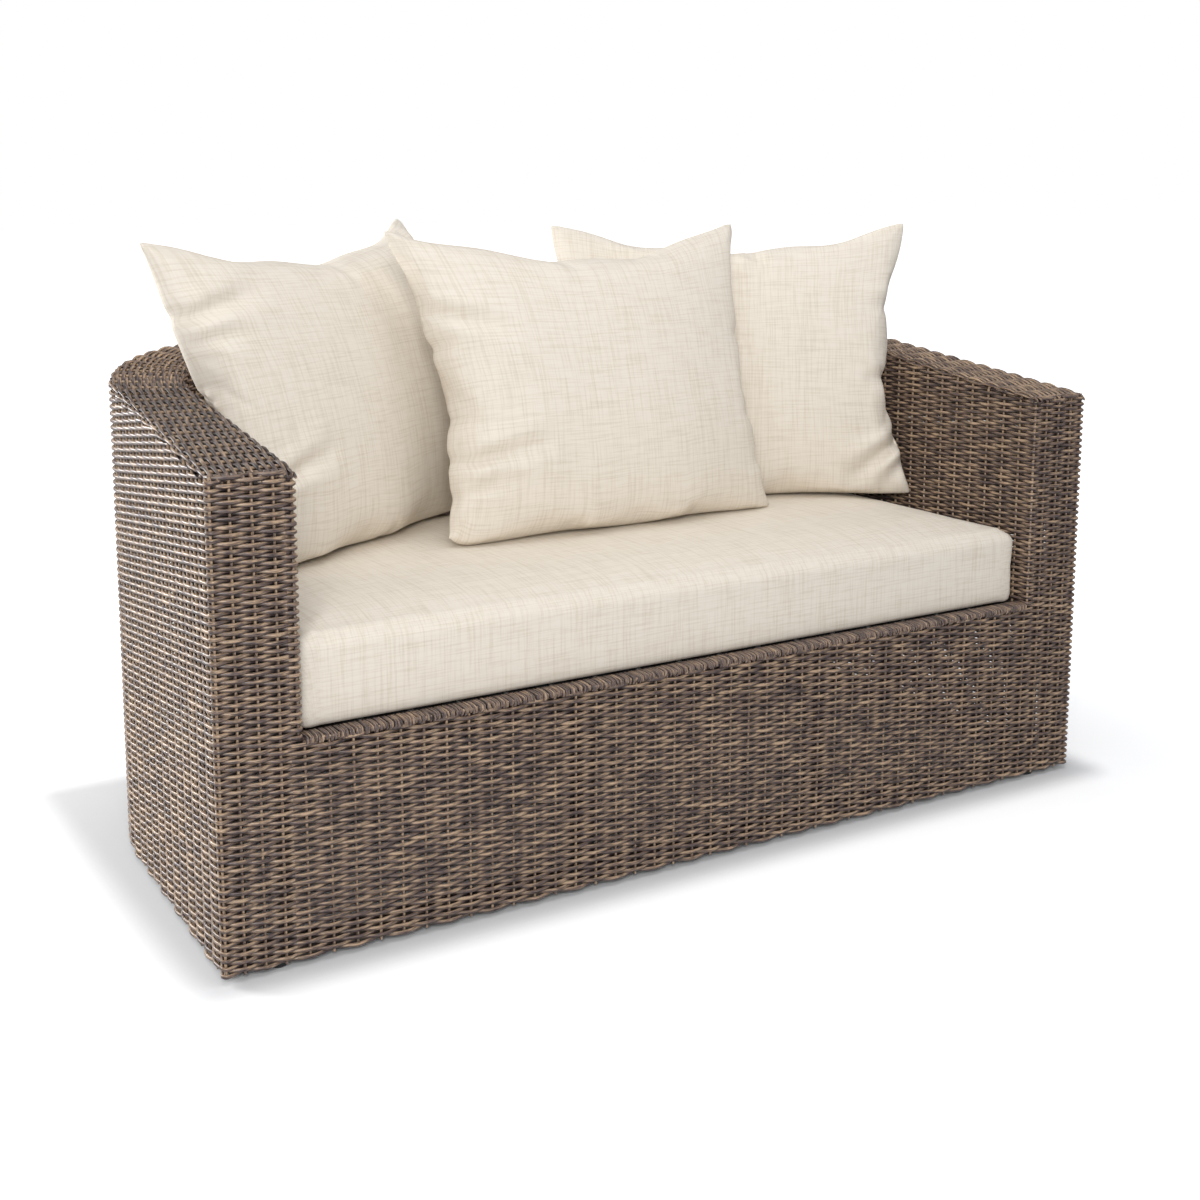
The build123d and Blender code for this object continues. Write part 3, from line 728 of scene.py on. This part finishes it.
# %% Linen finish
def linen():
    finish = Finish("cream_linen")
    u, v, _ = finish.attribute("cloth")
    warp = finish.noise(finish.joined(u * 360.0, v * 14.0, 1.3), 1.0, 2.0, 0.6)
    weft = finish.noise(finish.joined(u * 14.0, v * 360.0, 7.9), 1.0, 2.0, 0.6)
    dark_warp, dark_weft = finish.span(warp, 0.42, 0.72), finish.span(weft, 0.42, 0.72)
    slub = finish.noise(finish.joined(u * 60.0, v * 60.0, 4.0), 1.0, 3.0)
    grid = 0.34 * dark_warp + 0.34 * dark_weft + 0.15 * (slub - 0.5)
    thread = finish.noise(finish.joined(u * 900.0, v * 900.0, 2.0), 1.0, 1.0)
    finish.set(
        Base_Color=finish.mix(grid, rgb(233, 224, 210), rgb(203, 189, 168)),
        Roughness=0.82 + 0.08 * thread,
        Normal=finish.bump(warp + weft + 0.6 * thread, 0.35, 0.0005))
    return finish.material


fabric = linen()
print("finish", fabric.name)

# %% [markdown]
# ## Pillows
# A throw pillow is two flat panels sewn together and filled. Two flat grids with a
# shared edge are the cloth's own rest shape, and a cloth simulation with pressure fills
# them. The panels can't stretch, so the edges draw in and pucker and the corners stay
# behind as ears, as on the real ones. The few creases and splayed corners that the
# photograph shows are then pressed in one by one.

# %% Pillow sizes
pillow_width, pillow_height = 0.625, 0.476
front_crown, back_crown = 0.082, 0.046
side_bow, top_bow, bottom_bow = 0.017, 0.024, 0.0
side_wave, top_wave = 0.0022, 0.0018
panel_cells = (104, 80)
fill_share = 0.86
panel_spare = 1.02
seam_gap = 0.0006
seat_top, seat_gap = 0.4426, 0.0005


# %% Two sewn panels
def points_of(mesh):
    flat = np.empty(len(mesh.vertices) * 3)
    mesh.vertices.foreach_get("co", flat)
    return flat.reshape(-1, 3)


def set_points(mesh, points):
    mesh.vertices.foreach_set("co", np.ascontiguousarray(points, float).ravel())
    mesh.update()


def panel_places(cut, wobble):
    """Where the panels' points start: a filled pillow with wavy, drawn-in seams."""
    a, b, facing = cut.T
    bow = np.where(b > 0, top_bow, bottom_bow)
    x = a * (pillow_width / 2 - side_bow * (1 - b ** 2) - side_wave * np.sin(9 * b + wobble))
    wavy = top_wave * np.sin(11 * a + 2 * wobble)
    y = b * (pillow_height / 2 - bow * (1 - a ** 2) - wavy)
    bulge = np.clip((1 - np.abs(a) ** 2.3) * (1 - np.abs(b) ** 2.3), 0, 1) ** 0.62
    crown = np.where(facing > 0, front_crown, -back_crown)
    return np.stack([x, y, crown * fill_share * bulge], 1)


def sewn_panels(name, wobble):
    """Front and back panel with one shared edge. The cut panels are the cloth's own rest."""
    panels = bmesh.new()
    for facing in (1, -1):
        grid = bmesh.ops.create_grid(
            panels, x_segments=panel_cells[0], y_segments=panel_cells[1], size=1)
        inside = [v for v in grid["verts"] if not v.is_boundary]
        bmesh.ops.translate(panels, verts=inside, vec=(0, 0, facing * seam_gap))
        if facing < 0:
            own = set(grid["verts"])
            faces = [face for face in panels.faces if face.verts[0] in own]
            bmesh.ops.reverse_faces(panels, faces=faces)
    bmesh.ops.remove_doubles(panels, verts=panels.verts[:], dist=1e-5)
    mesh = bpy.data.meshes.new(name)
    panels.to_mesh(mesh)
    panels.free()
    piece = bpy.data.objects.new(name, mesh)
    bpy.context.scene.collection.objects.link(piece)
    cut = points_of(mesh)
    set_points(mesh, panel_places(cut, wobble))
    piece.shape_key_add(name="filled")
    flat = piece.shape_key_add(name="flat")
    size = np.array([pillow_width, pillow_height, 2]) / 2 * panel_spare
    flat.data.foreach_set("co", (cut * size).ravel())
    return piece, cut


def inflate(piece, pressure, frames):
    """Fills the piece as cloth and gives the shape of the last frame."""
    cloth = piece.modifiers.new("fill", "CLOTH")
    settings = cloth.settings
    settings.quality = 5
    settings.mass = 0.25
    settings.tension_stiffness = 40
    settings.compression_stiffness = 40
    settings.shear_stiffness = 8
    settings.bending_stiffness = 0.6
    settings.air_damping = 4
    settings.use_pressure = True
    settings.uniform_pressure_force = pressure
    settings.effector_weights.gravity = 0
    if piece.data.shape_keys:
        settings.rest_shape_key = piece.data.shape_keys.key_blocks["flat"]
    scene = bpy.context.scene
    for number in range(1, frames + 1):
        scene.frame_set(number)
    shaped = piece.evaluated_get(bpy.context.evaluated_depsgraph_get())
    points = points_of(shaped.data)
    piece.modifiers.remove(cloth)
    piece.shape_key_clear()
    scene.frame_set(1)
    return points


# %% Creases and corners
def fitted(points, cut):
    """Scaled so that the tips and the crowns have their sizes."""
    x, y, z = points.T
    x = x * pillow_width / (x.max() - x.min())
    y = (y - (y.max() + y.min()) / 2) * pillow_height / (y.max() - y.min())
    z = z - np.median(z[np.abs(cut[:, 2]) < seam_gap / 2])
    z = np.where(z > 0, z * front_crown / z.max(), z * back_crown / -z.min())
    return np.stack([x, y, z], 1)


def set_down(points, cut):
    """Lays the lower seam straight along the seat, as the pillow's weight does."""
    seam = np.flatnonzero(cut[:, 1] < -1 + 1e-4)
    seam = seam[np.argsort(cut[seam, 0])]
    seam_height = np.interp(cut[:, 0], cut[seam, 0], points[seam, 1])
    share = np.clip(-cut[:, 1], 0, 1) ** 1.3
    wave_up = 0.0022 * (1 - np.cos(7 * cut[:, 0] + cut[0, 0])) * (1 - cut[:, 0] ** 2)
    points[:, 1] += (-pillow_height / 2 - seam_height + wave_up) * share


def spread(points, cut, side, across, back, full):
    """Draws one side out and back, and fills the front panel before it."""
    far = np.clip((side * cut[:, 0] - 0.1) / 0.9, 0, 1)
    share = far * far * (3 - 2 * far)
    facing = np.clip(cut[:, 2] / seam_gap, 0, 1)
    near_side = np.exp(-((side * cut[:, 0] - 0.62) / 0.28) ** 2) * (1 - cut[:, 1] ** 2)
    points[:, 0] += side * across * share
    points[:, 2] += full * facing * near_side - back * share


def turned_away(points, cut, drop):
    """Bends the right side back beyond a curved fold, as where it leans on the next pillow."""
    fold = np.interp(cut[:, 1], [-1, -0.5, 0, 0.5, 1], [0.86, 0.93, 0.92, 0.80, 0.58])
    beyond = np.clip(cut[:, 0] - fold, 0, 1)
    points[:, 2] -= drop * beyond ** 2 / (beyond + 0.03)


def crease(points, cut, start, end, depth, width=0.0075):
    """Presses a valley with two soft banks into the front panel, in panel metres."""
    start, end = np.array(start), np.array(end)
    run = np.linalg.norm(end - start)
    ahead = (end - start) / run
    offset = points[:, :2] - start
    along = np.clip(offset @ ahead / run, 0, 1)
    across = offset @ np.array([-ahead[1], ahead[0]])
    beyond = np.abs(offset @ ahead / run - along) * run
    fade = (1 - along) ** 0.7 * np.minimum(along * 6 + 0.35, 1) * np.exp(-(beyond / width) ** 2)
    spread_out = width * (1 + 1.2 * along)
    valley = np.exp(-(across / spread_out) ** 2)
    banks = np.exp(-((across - 2 * spread_out) / (1.4 * spread_out)) ** 2)
    banks = banks + np.exp(-((across + 2 * spread_out) / (1.4 * spread_out)) ** 2)
    facing = np.clip(cut[:, 2] / seam_gap, 0, 1)
    points[:, 2] += depth * fade * facing * (0.55 * banks - valley)


def notch(points, side, height, depth, reach=0.035, width=0.010):
    """Draws the seam in at one place of a side."""
    edge = side * (pillow_width / 2 - side_bow)
    beside = (points[:, 0] - edge) / reach
    above = (points[:, 1] - height) / width
    points[:, 0] -= side * depth * np.exp(-beside ** 2 - above ** 2)


def ear(points, side, top, across, up, reach):
    """Moves one corner across and up."""
    corner = np.array([side * pillow_width / 2, top * pillow_height / 2])
    away = np.linalg.norm((points[:, :2] - corner) / (1.0, 0.8), axis=1)
    share = np.exp(-(away / reach) ** 2)
    points[:, 0] += across * share
    points[:, 1] += up * share


def blunt(points, cut, side, top, radius):
    """Rounds the tip of one corner."""
    tip = points[np.argmax(side * cut[:, 0] + top * cut[:, 1])]
    to_side = side * (points[:, 0] - tip[0]) + radius
    to_top = top * (points[:, 1] - tip[1]) + radius
    near = (to_side > 0) & (to_top > 0)
    length = np.maximum(np.hypot(to_side, to_top), 1e-9)
    share = np.where(near, np.maximum(to_side, to_top) / length, 1)
    points[:, 0] += side * (share - 1) * np.where(near, to_side, 0)
    points[:, 1] += top * (share - 1) * np.where(near, to_top, 0)


# Each pillow's place and angles in degrees, and what is set one by one, on its own panel:
# spread: side, across, back, full. A crease: start, end, depth. A notch: side, height,
# depth. An ear: side, top, across, up, reach. A tip: side, top, radius.
pillows = {
    "left": {
        "foot": (-0.350, 0.046), "turn": 31.5, "lean": 14.4, "wobble": 0.4,
        "spread": (1, 0.016, 0.018, 0.024),
        "creases": [
            ((-0.300, 0.118), (-0.150, 0.150), 0.013), ((-0.290, 0.085), (-0.20, 0.100), 0.006),
            ((-0.250, -0.120), (-0.11, -0.085), 0.012), ((0.02, 0.205), (0.06, 0.12), 0.004),
            ((0.245, 0.215), (0.285, 0.10), 0.010),
        ],
        "notches": [(-1, 0.130, 0.006), (-1, 0.03, 0.005), (1, 0.05, 0.004), (1, -0.08, 0.004)],
        "ears": [(-1, 1, -0.046, 0.012, 0.30), (1, 1, 0.056, 0.040, 0.15)],
        "tips": [(-1, 1, 0.014), (1, 1, 0.014)],
        "fold": 0.11,
    },
    "middle": {
        "foot": (0.036, -0.065), "turn": 0.4, "lean": 15.8, "wobble": 2.1,
        "spread": (-1, 0.004, 0.0, 0.010),
        "creases": [
            ((-0.292, 0.112), (-0.165, 0.072), 0.013), ((-0.285, -0.118), (-0.135, -0.098), 0.014),
            ((-0.285, -0.060), (-0.235, -0.052), 0.006), ((-0.275, -0.165), (-0.20, -0.138), 0.006),
            ((0.290, 0.052), (0.245, 0.060), 0.007), ((0.290, -0.090), (0.245, -0.065), 0.009),
            ((-0.06, 0.215), (-0.03, 0.15), 0.005), ((0.292, -0.165), (0.265, -0.150), 0.006),
        ],
        "notches": [
            (-1, 0.062, 0.009), (-1, -0.048, 0.007), (-1, -0.107, 0.006), (-1, -0.165, 0.004),
            (1, 0.055, 0.005), (1, -0.085, 0.006), (1, -0.150, 0.004),
        ],
        "ears": [
            (-1, 1, -0.030, 0.020, 0.20), (1, 1, 0.012, 0.026, 0.13),
            (-1, -1, -0.004, 0.0, 0.10),
        ],
        "tips": [(-1, 1, 0.014), (1, 1, 0.024), (-1, -1, 0.050), (1, -1, 0.010)],
        "fold": 0.0,
    },
    "right": {
        "foot": (0.349, 0.056), "turn": -30.0, "lean": 12.0, "wobble": 3.7,
        "spread": (-1, 0.006, 0.0, 0.0),
        "creases": [
            ((0.300, -0.030), (0.225, -0.040), 0.012), ((0.305, -0.135), (0.195, -0.215), 0.024),
            ((0.305, -0.172), (0.245, -0.226), 0.014), ((0.035, 0.215), (0.050, 0.13), 0.009),
            ((0.000, 0.215), (0.006, 0.16), 0.006), ((0.290, 0.105), (0.235, 0.085), 0.006),
        ],
        "notches": [(1, -0.030, 0.005), (1, -0.130, 0.007), (1, 0.09, 0.004), (1, -0.09, 0.004)],
        "ears": [(1, 1, 0.004, 0.010, 0.11), (1, -1, 0.012, 0.0, 0.08), (-1, 1, 0.0, 0.008, 0.11)],
        "tips": [(-1, 1, 0.008), (1, 1, 0.010), (1, -1, 0.012)],
        "fold": 0.0,
    },
}


# %% Against the walls and the seat
def pressed_in(points, wall_gap=0.0015, rim_room=0.004):
    """Points kept in front of the inner wall and above the seat, as a soft pillow is."""
    points = points.copy()
    path = inner_edge[inner_edge[:, 0] > 2]
    for _ in range(2):
        x, y = points[:, :2].T
        away_x, away_y = x[:, None] - path[None, :, 1], y[:, None] - path[None, :, 2]
        nearest = np.argmin(away_x ** 2 + away_y ** 2, 1)
        _, edge_x, edge_y, face_x, face_y = path[nearest].T
        inside = (x - edge_x) * face_x + (y - edge_y) * face_y
        below_rim = points[:, 2] < rim_height(edge_y) + rim_room
        push = np.where(below_rim, np.maximum(wall_gap - inside, 0), 0)
        points[:, 0] += face_x * push
        points[:, 1] += face_y * push
    points[:, 2] = np.maximum(points[:, 2], seat_top)
    return points


def pillow_axes(turn, lean):
    """Right, up and front of a pillow that is turned and leans back, in degrees."""
    turn, lean = radians(turn), radians(lean)
    right = np.array([cos(turn), sin(turn), 0])
    up = np.array([-sin(turn) * sin(lean), cos(turn) * sin(lean), cos(lean)])
    return np.stack([right, up, np.cross(right, up)])


def under_tape(points, cut, node, foot, axes, gap=0.0004):
    """Lays the back panel just under its zip tape."""
    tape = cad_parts[node]
    turn, shift = np.array(tape.matrix_world.to_3x3()), np.array(tape.matrix_world.translation)
    places = (points_of(tape.data) @ turn.T + shift - foot) @ axes.T - (0, pillow_height / 2, 0)
    x, y, z = places.T
    slope, level = np.polyfit(y, z, 1)
    here = level + slope * points[:, 1]
    beside = np.clip((np.abs(points[:, 0] - x.mean()) - np.ptp(x) / 2 - 0.006) / 0.05, 0, 1)
    above = np.clip((np.abs(points[:, 1] - y.mean()) - 0.010) / 0.02, 0, 1)
    share = (1 - beside) * (1 - above) * (cut[:, 2] < -seam_gap / 2)
    points[:, 2] += share * (here + gap - points[:, 2])


def cloth_notes(mesh, u, v):
    """Keeps each point's place on its cut panel for the linen's grid."""
    layer = mesh.attributes.new("cloth", "FLOAT_VECTOR", "POINT")
    layer.data.foreach_set("vector", np.stack([u, v, 0 * u], 1).ravel())


def softened(piece, levels=1):
    """Subdivision, smooth faces and the linen."""
    if levels:
        piece.modifiers.new("soft", "SUBSURF").levels = levels
        piece.modifiers["soft"].render_levels = levels
    for face in piece.data.polygons:
        face.use_smooth = True
    piece.data.materials.append(fabric)


def pillow(side, facts):
    """One pillow, filled, shaped and set in its place."""
    wobble = facts["wobble"]
    piece, cut = sewn_panels("pillow_" + side + "_soft", wobble)
    points = inflate(piece, pressure=4.0, frames=15)
    points = fitted(points, cut)
    set_down(points, cut)
    spread(points, cut, *facts["spread"])
    turned_away(points, cut, facts["fold"])
    for start, end, depth in facts["creases"]:
        crease(points, cut, start, end, depth)
    for edge, height, depth in facts["notches"]:
        notch(points, edge, height, depth)
    for edge, top, across, up, reach in facts["ears"]:
        ear(points, edge, top, across, up, reach)
    for edge, top, radius in facts["tips"]:
        blunt(points, cut, edge, top, radius)
    foot = np.array([*facts["foot"], seat_top])
    axes = pillow_axes(facts["turn"], facts["lean"])
    under_tape(points, cut, "pillow_" + side + "_zip", foot, axes)
    points = foot + (points + (0, pillow_height / 2 + seat_gap, 0)) @ axes
    set_points(piece.data, pressed_in(points))
    u, v = cut[:, 0] * pillow_width / 2, cut[:, 1] * pillow_height / 2
    cloth_notes(piece.data, u + 3 * wobble, v)
    softened(piece)
    return piece


cushions = {"pillow_" + side: pillow(side, facts) for side, facts in pillows.items()}
print("pillows", {name: len(piece.data.vertices) for name, piece in cushions.items()})

# %% [markdown]
# ## Seat cushion
# The seat cushion is a foam slab in a boxed cover: a crowned top, an upright border and
# softly rounded edges. The foam keeps it square, so it starts from the foam block in
# the model, gets an even skin by a voxel remesh, and a short cloth simulation lets the
# cover swell a few millimetres and lose its hard edges.

# %% Seat cushion
seat_voxel = 0.0062
seat_swell = 0.0035
seat_half_width = 0.6272
border_belly = 0.004
seat_low, seat_high = 0.3024, 0.4424
seat_front, seat_rear = -0.3492, 0.2512
tape_half, tape_height, tape_room, tape_face = 0.29, 0.3643, 0.009, 0.2494


def seat_start(name):
    """The foam block with an even skin."""
    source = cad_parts["seat_cushion_filling"]
    block = bmesh.new()
    block.from_mesh(source.data)
    block.transform(source.matrix_world)
    mesh = bpy.data.meshes.new(name)
    block.to_mesh(mesh)
    block.free()
    piece = bpy.data.objects.new(name, mesh)
    bpy.context.scene.collection.objects.link(piece)
    skin_maker = piece.modifiers.new("skin", "REMESH")
    skin_maker.mode, skin_maker.voxel_size = "VOXEL", seat_voxel
    even = piece.evaluated_get(bpy.context.evaluated_depsgraph_get())
    piece.data = bpy.data.meshes.new_from_object(even)
    piece.modifiers.remove(skin_maker)
    piece.data.materials.clear()
    return piece


def crisp(points, radius=0.03):
    """Sharpens the box's upright edges, and its top and bottom edges much less."""
    middle = np.array([0, (seat_front + seat_rear) / 2, (seat_low + seat_high) / 2])
    half = np.array([seat_half_width, (seat_rear - seat_front) / 2, (seat_high - seat_low) / 2])
    offset = points - middle
    beyond = np.maximum(np.abs(offset) - (half - radius), 0)
    from_middle = np.clip(np.abs(offset[:, 2]) / half[2], 0, 1)
    power = 5.0 - 2.7 * from_middle ** 4
    length = np.linalg.norm(beyond, axis=1)
    squared = np.sum(beyond ** power[:, None], 1) ** (1 / power)
    share = np.where(squared > 1e-9, length / np.maximum(squared, 1e-9), 1)
    return points + np.sign(offset) * beyond * (share - 1)[:, None]


def corner_fold(points):
    """The cover's small gathered fold at the front left top corner."""
    corner = np.array([-0.606, seat_front, 0.425])
    away = points - corner
    near = np.exp(-(np.linalg.norm(away / (0.05, 0.03, 0.018), axis=1)) ** 2)
    ripple = np.sin(away[:, 0] * 260 + away[:, 2] * 120)
    points[:, 2] += 0.0022 * near * ripple
    points[:, 1] -= 0.0014 * near * ripple


def seat_cushion(name):
    """The boxed cushion, and where each of its points is on the unfolded cover."""
    piece = seat_start(name)
    start = points_of(piece.data)
    points = inflate(piece, pressure=2.0, frames=8)
    outward = np.empty(len(start) * 3)
    piece.data.vertex_normals.foreach_get("vector", outward)
    outward = outward.reshape(-1, 3)
    swell = np.clip(np.sum((points - start) * outward, 1), 0, seat_swell)
    points = crisp(start + outward * swell[:, None])
    corner_fold(points)
    x, y, z = points.T
    belly = 1 - (2 * (z - seat_low) / (seat_high - seat_low) - 1) ** 2
    x = x + np.sign(x) * border_belly * belly * np.clip((np.abs(x) - 0.56) / 0.04, 0, 1)
    y = y - border_belly * belly * np.clip((-0.30 - y) / 0.03, 0, 1)
    x = x * seat_half_width / np.abs(x).max()
    z = np.clip(z, seat_low, seat_high)
    y = np.clip(y, seat_front, seat_rear)
    behind_tape = (np.abs(x) < tape_half) & (np.abs(z - tape_height) < tape_room)
    y = np.where(behind_tape, np.minimum(y, tape_face), y)
    set_points(piece.data, np.stack([x, y, z], 1))
    drop = seat_high - z
    rear_share = np.clip((y - 0.2) / 0.04, 0, 1)
    front_share = np.clip((-0.325 - y) / 0.02, 0, 1)
    side_share = np.clip((np.abs(x) - 0.595) / 0.02, 0, 1)
    u = x + np.sign(x) * drop * side_share
    v = y - drop * front_share + drop * rear_share
    cloth_notes(piece.data, u + 5.0, v)
    softened(piece, levels=0)
    return piece


cushions["seat_cushion"] = seat_cushion("seat_cushion_soft")
print("seat cushion", len(cushions["seat_cushion"].data.vertices), "points")

# %% [markdown]
# ## Light and floor
# The picture is a cut-out on white. A large light at the front left makes the cushions
# bright, one behind the left wall draws white glints along its strands, a soft one
# hangs above, and the sky is a weak white. The floor keeps the soft shadow. What only
# the camera sees, the white sky and the floor's glow round the sofa's footprint, adds
# no light to the sofa.

# %% World
studio = bpy.data.worlds.new("studio")
bpy.context.scene.world = studio
bpy.context.scene.view_settings.view_transform = "Standard"
sky = Finish("studio", studio)
seen = sky.node("ShaderNodeLightPath", {}, (), "Is Camera Ray")
weak_sky, white = (0.36, 0.37, 0.39, 1), (1, 1, 1, 1)
sky.set(Color=sky.mix(seen, weak_sky, white))


# %% Lamps
def lamp(name, place, aim, size, watts):
    """A square soft light that looks at a point."""
    data = bpy.data.lights.new(name, "AREA")
    data.energy, data.size = watts, size
    light = bpy.data.objects.new(name, data)
    light.location = place
    light.rotation_euler = (Vector(aim) - Vector(place)).to_track_quat("-Z", "Y").to_euler()
    bpy.context.scene.collection.objects.link(light)


lamp("key", (-2.15, -3.55, 2.3), (0, 0, 0.4), 1.6, 98)
lamp("glint", (-2.6, 2.4, 1.3), (-0.75, 0, 0.4), 1.2, 96)
lamp("top", (0.2, -0.4, 3.4), (0, 0, 0.4), 2.4, 34)
print("lamps", len(bpy.data.lights))

# %% Floor
floor_mesh = bpy.data.meshes.new("floor")
ground = bmesh.new()
bmesh.ops.create_grid(ground, x_segments=1, y_segments=1, size=30)
ground.to_mesh(floor_mesh)
ground.free()
floor = bpy.data.objects.new("floor", floor_mesh)
bpy.context.scene.collection.objects.link(floor)
paper = Finish("floor_paper")
seen = paper.node("ShaderNodeLightPath", {}, (), "Is Camera Ray")
footprint = (half_width, back, 0)


def vector_step(operation, *values, output=0):
    return paper.node("ShaderNodeVectorMath", {"operation": operation}, values, output)


beyond = vector_step("SUBTRACT", vector_step("ABSOLUTE", paper.place()), footprint)
distance = vector_step("LENGTH", vector_step("MAXIMUM", beyond, (0, 0, 0)), output="Value")
glow = seen * (0.42 * paper.span(distance, 0.0, 0.08) + 0.58 * paper.span(distance, 0.1, 1.4))
paper.set(
    Base_Color=(0.8, 0.8, 0.8, 1), Roughness=0.9,
    Emission_Color=paper.joined(glow, glow, glow), Emission_Strength=1.0)
floor_mesh.materials.append(paper.material)
print("floor ready")

# %% [markdown]
# ## Ride and finish
# Every piece rides on its CAD body, so that it moves with its joint, and stands for
# the CAD nodes that it dresses.

# %% Ride
for name, piece in walls.items():
    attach(piece, "frame")
    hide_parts(name)
for name, piece in cushions.items():
    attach(piece, name)
    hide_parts(name + "_cover", name + "_filling")
    0.95 if name == "seat_cushion" else 0.7
    coat_node(name + "_zip", fabric_tape)
print("woven pieces", len(walls), "cushions", len(cushions))
